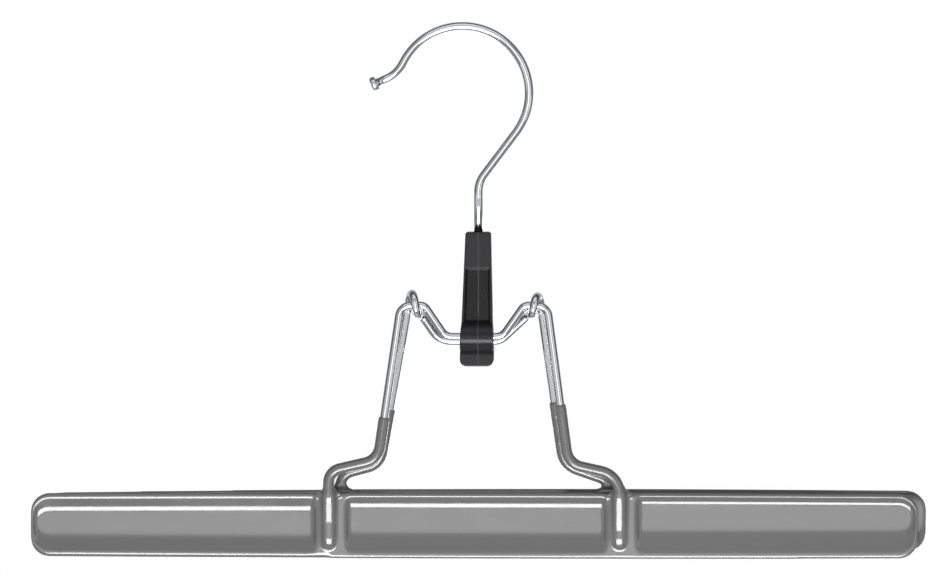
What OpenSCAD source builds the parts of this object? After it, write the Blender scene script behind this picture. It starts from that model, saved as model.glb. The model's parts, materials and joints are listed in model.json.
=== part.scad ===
// Trouser clamp hanger. A swivelling wire hook sits in a moulded latch lever, and the lever
// holds two bent wire frames that pinch a pair of plastic-dipped steel jaw bars.
// X runs along the jaws, Y from front to back and Z up. The origin is on the hook's inside
// surface, straight above the shank, where a wardrobe rail carries the hanger.

/* [Hook] */
// Diameter of the hook wire
hook_wire_d = 3.4; // [2.6:0.1:4.2]
// Centreline radius of the open hook
hook_r = 26.1; // [20:0.1:32]
// Sideways place of the hook's centre, measured from the shank
hook_offset = 6.24; // [3:0.1:9]
// Lean of the wire between the shank and the hook, from upright
hook_lean = 37; // [30:1:45]
// Radius of the bend that leans the wire out of the shank
shank_bend_r = 11; // [7:0.5:14]
// Angle on the hook's circle at which the tip starts to turn out
hook_end_angle = 153.5; // [140:0.5:165]
// Radius of the outward bend at the tip
tip_bend_r = 13; // [8:0.5:18]
// Outward turn at the tip
tip_turn = 40; // [20:1:60]
// Straight length between the tip's bend and its button
tip_len = 4; // [2:0.1:10]
// Diameter of the pressed button on the tip
button_d = 6; // [5:0.1:8]
// Thickness of the button
button_t = 2.4; // [1.6:0.1:4]
// Size of the coned edges of the button
button_edge = 0.6; // [0.2:0.1:0.8]
// Height from the rail seat down to the top of the latch
shank_drop = 78; // [70:0.5:100]
// Length of shank inside the latch, its pressed head included
shank_in = 11; // [8:0.1:13]
// Diameter of the pressed head that keeps the shank in the latch
shank_head_d = 5; // [4.4:0.1:5.6]
// Length of the pressed head
shank_head_t = 1.8; // [1:0.1:3]
// Radial running clearance of the shank in the latch
swivel_play = 0.06; // [0.03:0.01:0.1]
// Clearance over and under the pressed head
head_play = 0.1; // [0.05:0.05:0.3]

/* [Latch] */
// Overall height of the latch
latch_h = 52.7; // [48:0.1:60]
// Width of the latch at its top
latch_top_w = 10; // [9:0.1:12]
// Width of the latch at its lower end
latch_low_w = 13.2; // [12:0.1:14.4]
// How far the latch's lower end hangs to the left of its top
latch_hang = 0.6; // [0:0.1:1]
// Thickness of the latch's bar from front to back
latch_t = 8; // [7.4:0.1:9]
// Height from the latch's top down to the axis of the front garland
pivot_drop = 41.2; // [38:0.1:44]
// Diameter of the roll round the front garland
roll_d = 12; // [10:0.1:12.8]
// Height of the full-thickness block at the latch's top
block_h = 14.4; // [13:0.1:18]
// Depth of the recess in the latch's front
recess_depth = 3; // [1:0.1:3.4]
// Width of the rails beside the recess, at its lower end
rail_w = 1; // [0.7:0.1:2]
// Width of the rails at the recess's upper end
rail_top_w = 0.5; // [0.4:0.1:1.5]
// Corner radius at the latch's lower end
latch_corner_r = 2.6; // [1:0.1:4]
// Corner radius at the latch's top
latch_top_r = 0.9; // [0.4:0.1:2]
// How far the catch reaches behind the latch's bar
catch_reach = 3.4; // [2:0.1:4.5]
// Radial running clearance of the front garland in the roll
pivot_play = 0.06; // [0.03:0.01:0.1]
// Clearance between the rear garland and the cam face that pushes it
cam_play = 0.25; // [0.15:0.01:0.4]
// Width of the slit through which the roll snaps over the garland
snap_slit = 0.6; // [0.3:0.1:1]
// How far the latch tilts back to open the jaws
tilt_range = 45; // [20:1:45]
// Turn of the rear frame for each degree of tilt
open_ratio = 0.5; // [0.4:0.05:0.5]

/* [Frames] */
// Diameter of the frame wire
frame_wire_d = 3.3; // [2.8:0.1:3.6]
// How far the frames sit to the side of the shank, by their play on the roll
frame_shift = -1.35; // [-1.6:0.05:0]
// Distance from the front garland to the rear one, front to back
garland_gap = 4.4; // [4.2:0.1:5]
// Depth of the garlands' dip below the hinge line
garland_drop = 12.3; // [11:0.1:14]
// How much lower the rear garland hangs than the front one
rear_garland_lag = 2; // [1.5:0.1:2.5]
// The frames are bent by hand, so their sizes differ a little from left to right
// Front garland's corners, from the frames' middle, left and right
front_garland = [11.5, 10.8]; // [10.4:0.1:12]
// Rear garland's corners, from the frames' middle, left and right
rear_garland = [14.1, 10]; // [9.8:0.1:14.4]
// Inner ends of the hinge straights, from the frames' middle, left and right
shoulder = [19.8, 19.4]; // [19:0.1:20]
// Outer ends of the hinge straights, from the frames' middle, left and right
outer = [29.1, 28.4]; // [28.2:0.1:32]
// Half the distance between the middles of the two eyes
eye_half = 23.9; // [23.7:0.1:24.1]
// How far an eye moves inwards from its back to its front
eye_pitch = 2.7; // [2.5:0.1:2.9]
// How much higher an eye's top stands than a snug one, left and right
eye_rise = [1, 0]; // [0:0.1:1.5]
// Running clearance of each eye round the front wire
eye_play = 0.3; // [0.2:0.05:0.5]
// Front frame's knees, from the frames' middle, left and right
front_knee = [37.9, 36.7]; // [35:0.1:40]
// Drop from the hinge line to the front frame's knees, left and right
front_knee_drop = [60.5, 61.9]; // [58:0.1:63]
// Front frame's feet, from the frames' middle, left and right
front_foot = [57.3, 56.8]; // [56:0.1:60]
// Drop from the hinge line to the front frame's feet, left and right
front_foot_drop = [65, 66.3]; // [64:0.1:68]
// Rear frame's knees, from the frames' middle, left and right
rear_knee = [37.6, 34.8]; // [34:0.1:40]
// Drop from the hinge line to the rear frame's knees, left and right
rear_knee_drop = [63, 63.2]; // [61:0.1:64]
// Rear frame's feet, from the frames' middle, left and right
rear_foot = [53, 53]; // [51:0.1:55]
// Drop from the hinge line to the rear frame's feet, left and right
rear_foot_drop = [67.1, 69.5]; // [66:0.1:70]
// Bend radius of the front garland's corners
garland_r = 5; // [4:0.1:6]
// Bend radius of the rear garland's corners, left and right
rear_garland_r = [9, 7]; // [5:0.1:9]
// Bend radius where a garland meets its hinge straight
shoulder_r = 3; // [2.6:0.1:3.4]
// Bend radius between a hinge straight and its leg
outer_r = 4.7; // [4:0.1:5]
// Bend radius of the eyes
eye_r = 3.4; // [3:0.05:3.5]
// Bend radius where an eye runs on into the rear garland
eye_exit_r = 2.5; // [2.2:0.1:3]
// Bend radius of the knees
knee_r = 7.5; // [5:0.1:9]
// Bend radius of the rear frame's right knee
wide_knee_r = 9; // [6:0.1:9]
// Bend radius of the feet
foot_r = 5.5; // [4:0.1:6.5]
// Bend radius of the front frame's right foot
wide_foot_r = 9; // [4:0.1:9]

/* [Jaws] */
// Length of a jaw over its coating
jaw_len = 348.4; // [300:0.1:400]
// Height of a jaw over its coating
jaw_h = 26.1; // [22:0.1:30]
// Corner radius of a jaw over its coating
jaw_corner_r = 7.5; // [4:0.1:9]
// Drop from the hinge line to the front jaw's top edge
jaw_drop = 73.4; // [73.4:0.1:80]
// Sideways place of the front jaw's middle, measured from the shank
front_jaw_x = -2; // [-4:0.1:4]
// Sideways place of the rear jaw's middle, measured from the shank
rear_jaw_x = 1.4; // [-4:0.1:4]
// How much higher the rear jaw sits
rear_jaw_lift = 1.1; // [0:0.1:1.4]
// Thickness of the jaw's sheet steel
plate_t = 0.8; // [0.6:0.1:1.2]
// Depth of the three panels pressed inwards, whose backs grip the cloth
panel_sink = 1.8; // [0.4:0.1:2.4]
// Width of the rim round the panels
rim_w = 2.9; // [2:0.1:4]
// Corner radius of the panels
panel_r = 4; // [1:0.1:5]
// Gap between two panels, where a leg is welded on
leg_gap = 11.4; // [10.6:0.1:14]
// How far the middle of such a gap lies to the right of its leg
leg_gap_shift = 0.8; // [0:0.1:0.8]
// Depth that the weld sinks a leg into the sheet
weld_sink = 0.3; // [0.2:0.05:0.4]
// Height of the legs' lower ends over the jaw's lower edge
leg_lift = 4.5; // [3:0.1:7]
// Gap between the closed jaws
jaw_gap = 0.3; // [0.2:0.05:0.5]

/* [Coating] */
// Thickness of the dipped coating
coat_t = 0.6; // [0.4:0.05:0.9]
// Drop from the hinge line to the coating's edge on the front frame's legs, left and right
front_coat_drop = [43.8, 38.7]; // [34:0.1:50]
// Drop from the hinge line to the coating's edge on the rear frame's legs, left and right
rear_coat_drop = [41, 37.9]; // [34:0.1:50]
// Radius of the coating's fillets beside the legs
saddle_r = 2.5; // [1.5:0.1:3]
// Thickness of the primer film between steel and coating
primer_t = 0.02; // [0.01:0.01:0.05]

/* [Hidden] */
$fn = 48;

chrome = "#c9cbce";
black_plastic = "#33343a";
bare_steel = "#9a9c9e";
grey_dip = "#949494";

// How far a straight runs into the bend beside it, and how much fuller the bend is there
wire_lap = 0.1;
bend_swell = 0.01;
// Straight between the hook's circle and the tip's bend
tip_gap = 0.3;
// Overrun of the cuts
over = latch_t;
// Steps in an arc of an outline, and in the rear garland's sweep past the latch
arc_steps = 8;
cam_steps = 12;

// Hook
hook_centre = [-hook_offset, -sqrt(pow(hook_r - hook_wire_d / 2, 2) - pow(hook_offset, 2))];
hook_start = hook_centre + hook_r * [cos(hook_lean), -sin(hook_lean)];
shank_corner_z = hook_start[1] - hook_start[0] / tan(hook_lean);
shank_setback = shank_bend_r * tan(hook_lean / 2);
shank_foot_z = -shank_drop - shank_in;

// Heights and depths of the axes
latch_low_z = -shank_drop - latch_h;
pivot_z = -shank_drop - pivot_drop;
hinge_z = pivot_z + garland_drop;
front_y = -garland_gap / 2;
rear_y = garland_gap / 2;
rear_garland_z = pivot_z - rear_garland_lag;
eye_ring = frame_wire_d + eye_play;

// Jaws
sleeve_d = frame_wire_d + 2 * coat_t;
front_jaw_top = hinge_z - jaw_drop;
rear_jaw_top = front_jaw_top + rear_jaw_lift;
plate_u = jaw_gap / 2 + coat_t;
rim_u = plate_u + panel_sink;
skin_u = rim_u + plate_t + coat_t;
leg_y = rim_u + plate_t + frame_wire_d / 2 - weld_sink;

function unit(v) = v / norm(v);
function reversed(list) = [for (i = [len(list) - 1:-1:0]) list[i]];
// Where a line from a to b passes the height z
function at_height(a, b, z) = a + (b - a) * (z - a[2]) / (b[2] - a[2]);

// Points on an arc, in order from one angle to the other
function arc(centre, r, from, to) =
    [for (i = [0:arc_steps]) centre + r * [cos(from + (to - from) * i / arc_steps),
        sin(from + (to - from) * i / arc_steps)]];

// Outline of an upright rectangle about the origin, with round corners
function round_box(w, h, r) = concat(
    arc([w / 2 - r, h / 2 - r], r, 0, 90),
    arc([r - w / 2, h / 2 - r], r, 90, 180),
    arc([r - w / 2, r - h / 2], r, 180, 270),
    arc([w / 2 - r, r - h / 2], r, 270, 360));

// Wire that follows corner points: each row is a straight length, a roll, a bend radius and a turn
function turn_at(p, i) = acos(unit(p[i] - p[i - 1]) * unit(p[i + 1] - p[i]));
function setback(p, radii, i) =
    i == 0 || i == len(p) - 1 ? 0 : radii[i] * tan(turn_at(p, i) / 2);
function first_side(u) = [u[2] * cos(atan2(u[1], u[0])), u[2] * sin(atan2(u[1], u[0])), -sin(acos(u[2]))];
function wire_rows(p, radii, i = 1, side = undef) =
    let (
        u = unit(p[i] - p[i - 1]),
        s = is_undef(side) ? first_side(u) : side,
        straight = norm(p[i] - p[i - 1]) - setback(p, radii, i - 1) - setback(p, radii, i)
    )
    i == len(p) - 1 ? [[straight, 0, 0, 0]] :
    let (
        turn = turn_at(p, i),
        inside = unit(unit(p[i + 1] - p[i]) - cos(turn) * u),
        roll = atan2(cross(u, s) * inside, s * inside)
    )
    concat([[straight, roll, radii[i], turn]],
        wire_rows(p, radii, i + 1, cos(turn) * inside - sin(turn) * u));

// Draws rows of straights and bends upwards from the origin, and puts the children at the end
module wire(rows, d, i = 0) {
    row = rows[i];
    last = i == len(rows) - 1;
    below = i == 0 ? 0 : wire_lap;
    above = last ? 0 : wire_lap;
    translate([0, 0, -below])
        cylinder(h = below + row[0] + above, d = d);
    translate([0, 0, row[0]])
        rotate(row[1]) {
            if (last) children();
            else {
                bend(row[2], row[3], d);
                translate([row[2] * (1 - cos(row[3])), 0, row[2] * sin(row[3])])
                    rotate([0, row[3], 0])
                        wire(rows, d, i + 1) children();
            }
        }
}

// Bends upwards from the origin towards +X
module bend(r, turn, d) {
    translate([r, 0, 0])
        rotate([90, 0, 180])
            rotate_extrude(angle = turn)
                translate([r, 0])
                    circle(d = d + 2 * bend_swell);
}

// Wire through corner points
module bent_wire(points, radii, d) {
    u = unit(points[1] - points[0]);
    translate(points[0])
        rotate([0, acos(u[2]), atan2(u[1], u[0])])
            wire(wire_rows(points, radii), d);
}

// Hook wire, from the head in the latch to the button on the tip
hook_rows = [
    [shank_corner_z - shank_setback - shank_foot_z, 0, shank_bend_r, hook_lean],
    [norm(hook_start - [0, shank_corner_z]) - shank_setback, 180, hook_r, hook_lean + hook_end_angle],
    [tip_gap, 180, tip_bend_r, tip_turn],
    [tip_len, 0, 0, 0]];

module hook_wire() {
    color(chrome)
        translate([0, 0, shank_foot_z]) {
            wire(hook_rows, hook_wire_d)
                button();
            cylinder(h = shank_head_t, d = shank_head_d);
        }
}

// Pressed button: a straight rim with a coned edge on each side
module button() {
    flat_d = button_d - 2 * button_edge;
    rotate_extrude()
        polygon([[0, 0], [flat_d / 2, 0], [button_d / 2, button_edge],
            [button_d / 2, button_t - button_edge], [flat_d / 2, button_t], [0, button_t]]);
}

// Latch lever
stem_w = latch_low_w - rail_w;
waist_z = -shank_drop - block_h;
// Lean of the snap slit, which runs down to where the roll meets the bar's front
slit_lean = -asin((latch_t / 2 + front_y) / (roll_d / 2));

// A point of the latch's front, moved by the way it hangs
function hung(p) = p - [latch_hang * (-shank_drop - p[1]) / latch_h, 0];
// Outline of the latch seen from the front: narrow at the top, full width at the roll
latch_front = concat(
    arc([latch_top_w / 2 - latch_top_r, -shank_drop - latch_top_r], latch_top_r, 0, 90),
    arc([latch_top_r - latch_top_w / 2, -shank_drop - latch_top_r], latch_top_r, 90, 180),
    [[-stem_w / 2, pivot_z + roll_d / 2], [-latch_low_w / 2, pivot_z]],
    arc([latch_corner_r - latch_low_w / 2, latch_low_z + latch_corner_r], latch_corner_r, 180, 270),
    arc([latch_low_w / 2 - latch_corner_r, latch_low_z + latch_corner_r], latch_corner_r, 270, 360),
    [[latch_low_w / 2, pivot_z], [stem_w / 2, pivot_z + roll_d / 2]]);
recess_front = [[rail_top_w - latch_top_w / 2, waist_z], [rail_w - stem_w / 2, pivot_z],
    [stem_w / 2 - rail_w, pivot_z], [latch_top_w / 2 - rail_top_w, waist_z]];

// Turns a point about the origin of the Y and Z plane
function spun(p, a) = [p[0] * cos(a) - p[1] * sin(a), p[0] * sin(a) + p[1] * cos(a)];
// Place of the rear garland in the latch's frame when the latch is tilted by a
rear_arm = [garland_gap, rear_garland_z - hinge_z];
function cam_point(a) =
    [front_y, pivot_z] + spun([0, garland_drop] + spun(rear_arm, a * open_ratio), a);
// Heading of its path there, and a point beside the path: 1 is the roll's side and -1 the far side
function cam_heading(a) =
    let (d = cam_point(a + 1) - cam_point(a - 1)) atan2(d[1], d[0]);
function cam_side(a, side) =
    cam_point(a) + side * cam_r * [-sin(cam_heading(a)), cos(cam_heading(a))];
cam_r = frame_wire_d / 2 + cam_play;
cam_start = cam_point(0);
cam_end = cam_point(tilt_range);
cam_step = tilt_range / cam_steps;
catch_y = latch_t / 2 + catch_reach;

// Room behind the latch that the rear garland sweeps, open to the back
cam_room = concat(
    [for (i = [1:cam_steps - 1]) cam_side(i * cam_step, 1)],
    arc(cam_end, cam_r, cam_heading(tilt_range) + 90, 90),
    [[catch_y + over, cam_end[1] + cam_r], [catch_y + over, cam_start[1]]],
    [for (i = [cam_steps / 4:-1:1]) cam_side(i * cam_step, -1)],
    arc(cam_start, cam_r, cam_heading(0) - 90, cam_heading(0) - 270));

module latch_lever() {
    color(black_plastic)
        difference() {
            intersection() {
                across(latch_low_w + over)
                    latch_side();
                rotate([90, 0, 0])
                    translate([0, 0, -over - latch_t])
                        linear_extrude(2 * (over + latch_t))
                            polygon([for (p = latch_front) hung(p)]);
            }
            recess();
            swivel_socket();
            garland_cuts();
        }
}

// Extrudes a Y and Z outline along X, centred on the shank
module across(w) {
    rotate([90, 0, 90])
        translate([0, 0, -w / 2])
            linear_extrude(w)
                children();
}

// Side outline: the straight bar, the roll in front, and the catch behind
module latch_side() {
    translate([-latch_t / 2, latch_low_z])
        square([latch_t, latch_h]);
    translate([front_y, pivot_z])
        circle(d = roll_d);
    polygon([[0, latch_low_z], [latch_t / 2, latch_low_z], [catch_y, rear_garland_z - frame_wire_d],
        [catch_y, rear_garland_z], [0, rear_garland_z]]);
}

// Recess between the rails in the latch's front, above the roll
module recess() {
    difference() {
        rotate([90, 0, 0])
            translate([0, 0, latch_t / 2 - recess_depth])
                linear_extrude(over)
                    polygon([for (p = recess_front) hung(p)]);
        across(latch_low_w + over)
            translate([front_y, pivot_z])
                circle(d = roll_d);
    }
}

// Socket in which the shank and its pressed head turn
module swivel_socket() {
    head_z = shank_foot_z - head_play;
    translate([0, 0, head_z])
        cylinder(h = over + shank_in, d = hook_wire_d + 2 * swivel_play);
    translate([0, 0, head_z])
        cylinder(h = shank_head_t + 2 * head_play, d = shank_head_d + 2 * swivel_play);
}

// Bore for the front garland with its snap slit, and the room behind for the rear garland
module garland_cuts() {
    across(latch_low_w + over) {
        translate([front_y, pivot_z])
            circle(d = frame_wire_d + 2 * pivot_play);
        polygon(cam_room);
    }
    translate([0, front_y, pivot_z])
        rotate([slit_lean, 0, 0])
            translate([-(latch_low_w + over) / 2, -snap_slit / 2, -roll_d])
                cube([latch_low_w + over, snap_slit, roll_d]);
}

// Frames: corners of one side, from the leg's lower end to the garland. Side 0 is left and 1 right.
front_leg_z = front_jaw_top - jaw_h + leg_lift;
rear_leg_z = rear_jaw_top - jaw_h + leg_lift;

// Place of something at a distance from the frames' middle
function to_side(side, x) = frame_shift + (side == 0 ? -x : x);

function front_side(s) = [
    [to_side(s, front_foot[s]), -leg_y, front_leg_z],
    [to_side(s, front_foot[s]), -leg_y, hinge_z - front_foot_drop[s]],
    [to_side(s, front_knee[s]), -leg_y, hinge_z - front_knee_drop[s]],
    [to_side(s, outer[s]), front_y, hinge_z],
    [to_side(s, shoulder[s]), front_y, hinge_z],
    [to_side(s, front_garland[s]), front_y, pivot_z]];
front_sides = [front_side(0), front_side(1)];
front_radii = [
    [0, foot_r, knee_r, outer_r, shoulder_r, garland_r],
    [0, wide_foot_r, knee_r, outer_r, shoulder_r, garland_r]];

function rear_side(s) = [
    [to_side(s, rear_foot[s]), leg_y, rear_leg_z],
    [to_side(s, rear_foot[s]), leg_y, hinge_z - rear_foot_drop[s]],
    [to_side(s, rear_knee[s]), leg_y, hinge_z - rear_knee_drop[s]],
    [to_side(s, eye_half + eye_pitch / 2), front_y + eye_ring, hinge_z + eye_ring + eye_rise[s]],
    [to_side(s, eye_half), front_y - eye_ring, hinge_z + eye_ring + eye_rise[s]],
    [to_side(s, eye_half - eye_pitch / 2), front_y - eye_ring, hinge_z - eye_ring],
    [to_side(s, eye_half - eye_pitch), rear_y, hinge_z - eye_ring - eye_play],
    [to_side(s, rear_garland[s]), rear_y, rear_garland_z]];
rear_sides = [rear_side(0), rear_side(1)];
rear_radii = [
    [0, foot_r, knee_r, eye_r, eye_r, eye_r, eye_exit_r, rear_garland_r[0]],
    [0, foot_r, wide_knee_r, eye_r, eye_r, eye_r, eye_exit_r, rear_garland_r[1]]];

module frame_wire(sides, radii, grow) {
    color(chrome)
        bent_wire(concat(sides[0], reversed(sides[1])), concat(radii[0], reversed(radii[1])),
            frame_wire_d + 2 * grow);
}

module front_wire(grow = 0) {
    frame_wire(front_sides, front_radii, grow);
}

module rear_wire(grow = 0) {
    frame_wire(rear_sides, rear_radii, grow);
}

// Jaws are drawn flat, seen from outside, and stood up facing the front or the back
module facing(back, x, top) {
    mirror([0, back ? 1 : 0, 0])
        translate([x, 0, top - jaw_h / 2])
            rotate([90, 0, 0])
                children();
}

// Places of the two legs along a jaw whose middle is at x
function leg_places(x, foot) = [for (s = [0, 1]) to_side(s, foot[s]) - x];
// Ends of the three panels along that jaw
function panel_ends(x, foot) =
    let (end = jaw_len / 2 - rim_w, gaps = leg_places(x, foot) + leg_gap_shift * [1, 1])
    [[-end, gaps[0] - leg_gap / 2], [gaps[0] + leg_gap / 2, gaps[1] - leg_gap / 2],
        [gaps[1] + leg_gap / 2, end]];

module panels(x, foot, swell) {
    tall = jaw_h - 2 * (rim_w - swell);
    for (ends = panel_ends(x, foot))
        translate([(ends[0] + ends[1]) / 2, 0])
            polygon(round_box(ends[1] - ends[0] + 2 * swell, tall, panel_r + swell));
}

// Sheet with three panels pressed inwards
module plate_sheet(x, foot, grow) {
    inset = coat_t - grow;
    difference() {
        union() {
            translate([0, 0, rim_u - grow])
                linear_extrude(plate_t + 2 * grow)
                    polygon(round_box(jaw_len - 2 * inset, jaw_h - 2 * inset, jaw_corner_r - inset));
            translate([0, 0, plate_u - grow])
                linear_extrude(panel_sink + plate_t)
                    panels(x, foot, coat_t + plate_t + grow);
        }
        translate([0, 0, plate_u + plate_t + grow])
            linear_extrude(over)
                panels(x, foot, inset);
    }
}

// Dipped skin over the sheet, one coat thick outside and flat where it grips the cloth
module skin(x, foot) {
    difference() {
        union() {
            translate([0, 0, rim_u - coat_t])
                linear_extrude(skin_u - rim_u + coat_t)
                    polygon(round_box(jaw_len, jaw_h, jaw_corner_r));
            translate([0, 0, jaw_gap / 2])
                linear_extrude(rim_u - jaw_gap / 2)
                    panels(x, foot, plate_t + 2 * coat_t);
        }
        translate([0, 0, plate_u + plate_t + coat_t])
            linear_extrude(over)
                panels(x, foot, 0);
    }
}

// Fillets of coating on both sides of a leg, as a Y and X outline along the leg
saddle_rise = skin_u + saddle_r - leg_y;
saddle_x = sqrt(pow(sleeve_d / 2 + saddle_r, 2) - pow(saddle_rise, 2));
saddle_angle = atan2(saddle_rise, saddle_x);
saddle_outline = concat(
    [[-saddle_x, skin_u - coat_t / 2]],
    reversed(arc([-saddle_x, skin_u + saddle_r], saddle_r, -saddle_angle, -90)),
    arc([saddle_x, skin_u + saddle_r], saddle_r, 180 + saddle_angle, 270),
    [[saddle_x, skin_u - coat_t / 2]]);

module saddles(x, foot) {
    for (leg_x = leg_places(x, foot))
        translate([leg_x, jaw_h / 2 - rim_w, 0])
            rotate([90, 0, 0])
                linear_extrude(jaw_h - rim_w - coat_t)
                    polygon(saddle_outline);
}

// Sleeves of coating on the two legs of a frame
module sleeves(sides, radii, drops) {
    for (s = [0, 1]) {
        leg = sides[s];
        start = at_height(leg[2], leg[3], hinge_z - drops[s]);
        low = leg[0] - [0, 0, coat_t];
        bent_wire([start, leg[2], leg[1], low], [0, radii[s][2], radii[s][1], 0], sleeve_d);
    }
}

module front_jaw_plate() {
    color(bare_steel)
        difference() {
            facing(false, front_jaw_x, front_jaw_top)
                plate_sheet(front_jaw_x, front_foot, 0);
            front_wire(primer_t);
        }
}

module rear_jaw_plate() {
    color(bare_steel)
        difference() {
            facing(true, rear_jaw_x, rear_jaw_top)
                plate_sheet(rear_jaw_x, rear_foot, 0);
            rear_wire(primer_t);
        }
}

module front_jaw_coating() {
    color(grey_dip)
        difference() {
            union() {
                facing(false, front_jaw_x, front_jaw_top) {
                    skin(front_jaw_x, front_foot);
                    saddles(front_jaw_x, front_foot);
                }
                sleeves(front_sides, front_radii, front_coat_drop);
            }
            facing(false, front_jaw_x, front_jaw_top)
                plate_sheet(front_jaw_x, front_foot, primer_t);
            front_wire(primer_t);
        }
}

module rear_jaw_coating() {
    color(grey_dip)
        difference() {
            union() {
                facing(true, rear_jaw_x, rear_jaw_top) {
                    skin(rear_jaw_x, rear_foot);
                    saddles(rear_jaw_x, rear_foot);
                }
                sleeves(rear_sides, rear_radii, rear_coat_drop);
            }
            facing(true, rear_jaw_x, rear_jaw_top)
                plate_sheet(rear_jaw_x, rear_foot, primer_t);
            rear_wire(primer_t);
        }
}

hook_wire();
latch_lever();
front_wire();
front_jaw_plate();
front_jaw_coating();
rear_wire();
rear_jaw_plate();
rear_jaw_coating();
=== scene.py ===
"""Looks of a trouser clamp hanger: chromed wire, a black moulded latch and jaws dipped in grey plastisol."""

import json
import math

import bmesh
import bpy
from bpy.props import FloatProperty, FloatVectorProperty, PointerProperty, StringProperty
from mathutils import Matrix, Vector


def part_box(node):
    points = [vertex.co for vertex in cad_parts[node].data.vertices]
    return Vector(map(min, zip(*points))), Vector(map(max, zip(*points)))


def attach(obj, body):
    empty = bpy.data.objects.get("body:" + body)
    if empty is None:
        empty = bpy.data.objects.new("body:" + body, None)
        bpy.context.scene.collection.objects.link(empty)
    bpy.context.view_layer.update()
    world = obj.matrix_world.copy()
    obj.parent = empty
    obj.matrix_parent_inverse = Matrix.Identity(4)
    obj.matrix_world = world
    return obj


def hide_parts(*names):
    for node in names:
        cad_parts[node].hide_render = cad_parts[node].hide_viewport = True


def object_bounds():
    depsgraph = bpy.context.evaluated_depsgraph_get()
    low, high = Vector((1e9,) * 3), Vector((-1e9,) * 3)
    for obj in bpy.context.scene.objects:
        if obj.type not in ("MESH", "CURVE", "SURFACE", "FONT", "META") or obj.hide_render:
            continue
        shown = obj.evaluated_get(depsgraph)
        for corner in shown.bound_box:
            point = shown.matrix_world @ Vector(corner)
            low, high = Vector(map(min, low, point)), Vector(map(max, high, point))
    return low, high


bl_info = {
    "name": "Trouser Clamp Hanger",
    "version": (1, 0, 0),
    "blender": (4, 5, 0),
    "location": "View3D > Sidebar > Hanger",
    "description": "Builds the wires, latch and dipped jaws of a trouser clamp hanger",
    "category": "Add Mesh",
}

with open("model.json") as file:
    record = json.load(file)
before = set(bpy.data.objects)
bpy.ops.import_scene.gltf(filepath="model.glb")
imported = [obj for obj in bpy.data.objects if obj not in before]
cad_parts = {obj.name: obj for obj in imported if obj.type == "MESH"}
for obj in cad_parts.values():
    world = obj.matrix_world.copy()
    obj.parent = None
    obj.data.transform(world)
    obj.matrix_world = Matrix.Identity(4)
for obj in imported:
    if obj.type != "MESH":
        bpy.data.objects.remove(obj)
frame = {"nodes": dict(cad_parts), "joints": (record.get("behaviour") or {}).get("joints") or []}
CAD_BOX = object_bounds()
MM = 0.001

# The photograph's frame, and how large it shows the object
PHOTO_W = 945
PHOTO_H = 574
PHOTO_PX_PER_MM = 2.549
PHOTO_SHANK_X = 478.4
PHOTO_SEAT_Y = 32.9


def joint_place(name):
    """Where a joint of the frame turns, in metres."""
    return Vector(next(j["pos_m"] for j in frame["joints"] if j["name"] == name))


PIVOT = joint_place("latch_tilt")
HINGE = joint_place("jaw_open")


def length(name, description, millimetres):
    """A length that a user may change, kept in metres."""
    return FloatProperty(
        name=name, description=description, default=millimetres * MM, min=0.0, precision=5, unit="LENGTH"
    )


def lengths(name, description, *millimetres):
    """Lengths from left to right that a user may change, kept in metres."""
    return FloatVectorProperty(
        name=name, description=description + ", from left to right", size=len(millimetres),
        default=[mm * MM for mm in millimetres], min=0.0, precision=5, unit="LENGTH",
    )


def per_jaw(name, description, front, rear):
    """A length of the front jaw and of the rear jaw that a user may change, kept in metres."""
    return FloatVectorProperty(
        name=name, description=description + ", front jaw and rear jaw", size=2,
        default=(front * MM, rear * MM), min=0.0, precision=5, unit="LENGTH",
    )


def angle(name, description, degrees):
    """An angle that a user may change."""
    return FloatProperty(
        name=name, description=description, default=math.radians(degrees), subtype="ANGLE", unit="ROTATION"
    )


def colour(name, description, hex_value):
    """A colour that a user may change, written as sRGB hex."""
    return StringProperty(name=name, description=description, default=hex_value)


class HangerHookSizes(bpy.types.PropertyGroup):
    """Sizes of the hook wire."""

    wire_d: length("Hook wire diameter", "Diameter of the hook's drawn wire", 3.4)
    hook_r: length("Hook radius", "Centreline radius of the open hook", 26.1)
    hook_offset: length("Hook offset", "Sideways place of the hook's centre from the shank", 6.24)
    lean: angle("Neck lean", "Lean of the wire between the shank and the hook", 37)
    neck_r: length("Neck bend", "Radius of the bend out of the shank", 11)
    end_angle: angle("Hook end", "Angle on the hook's circle where the tip turns out", 153.5)
    tip_r: length("Tip bend", "Radius of the outward bend at the tip", 13)
    tip_turn: angle("Tip turn", "Outward turn of the tip", 40)
    tip_len: length("Tip length", "Straight between the tip's bend and its button", 4)
    button_d: length("Button diameter", "Diameter of the pressed button on the tip", 6)
    button_t: length("Button thickness", "Thickness of the pressed button", 2.4)
    button_edge: length("Button edge", "Rounding of the button's rim", 0.9)
    dish: length("Button dish", "Depth of the shallow dish in the button's end", 0.35)
    head_r: length("Head radius", "Radius of the pressed head on the shank's foot", 2.5)
    head_t: length("Head thickness", "Thickness of the pressed head", 1.8)


class HangerLatchSizes(bpy.types.PropertyGroup):
    """Sizes of the moulded latch's finish. Its form is the CAD solid's."""

    voxel: length("Skin detail", "Mesh size of the moulded skin", 0.24)
    line: length("Parting line", "Half the width of the line that the mould's halves leave", 0.28)


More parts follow.
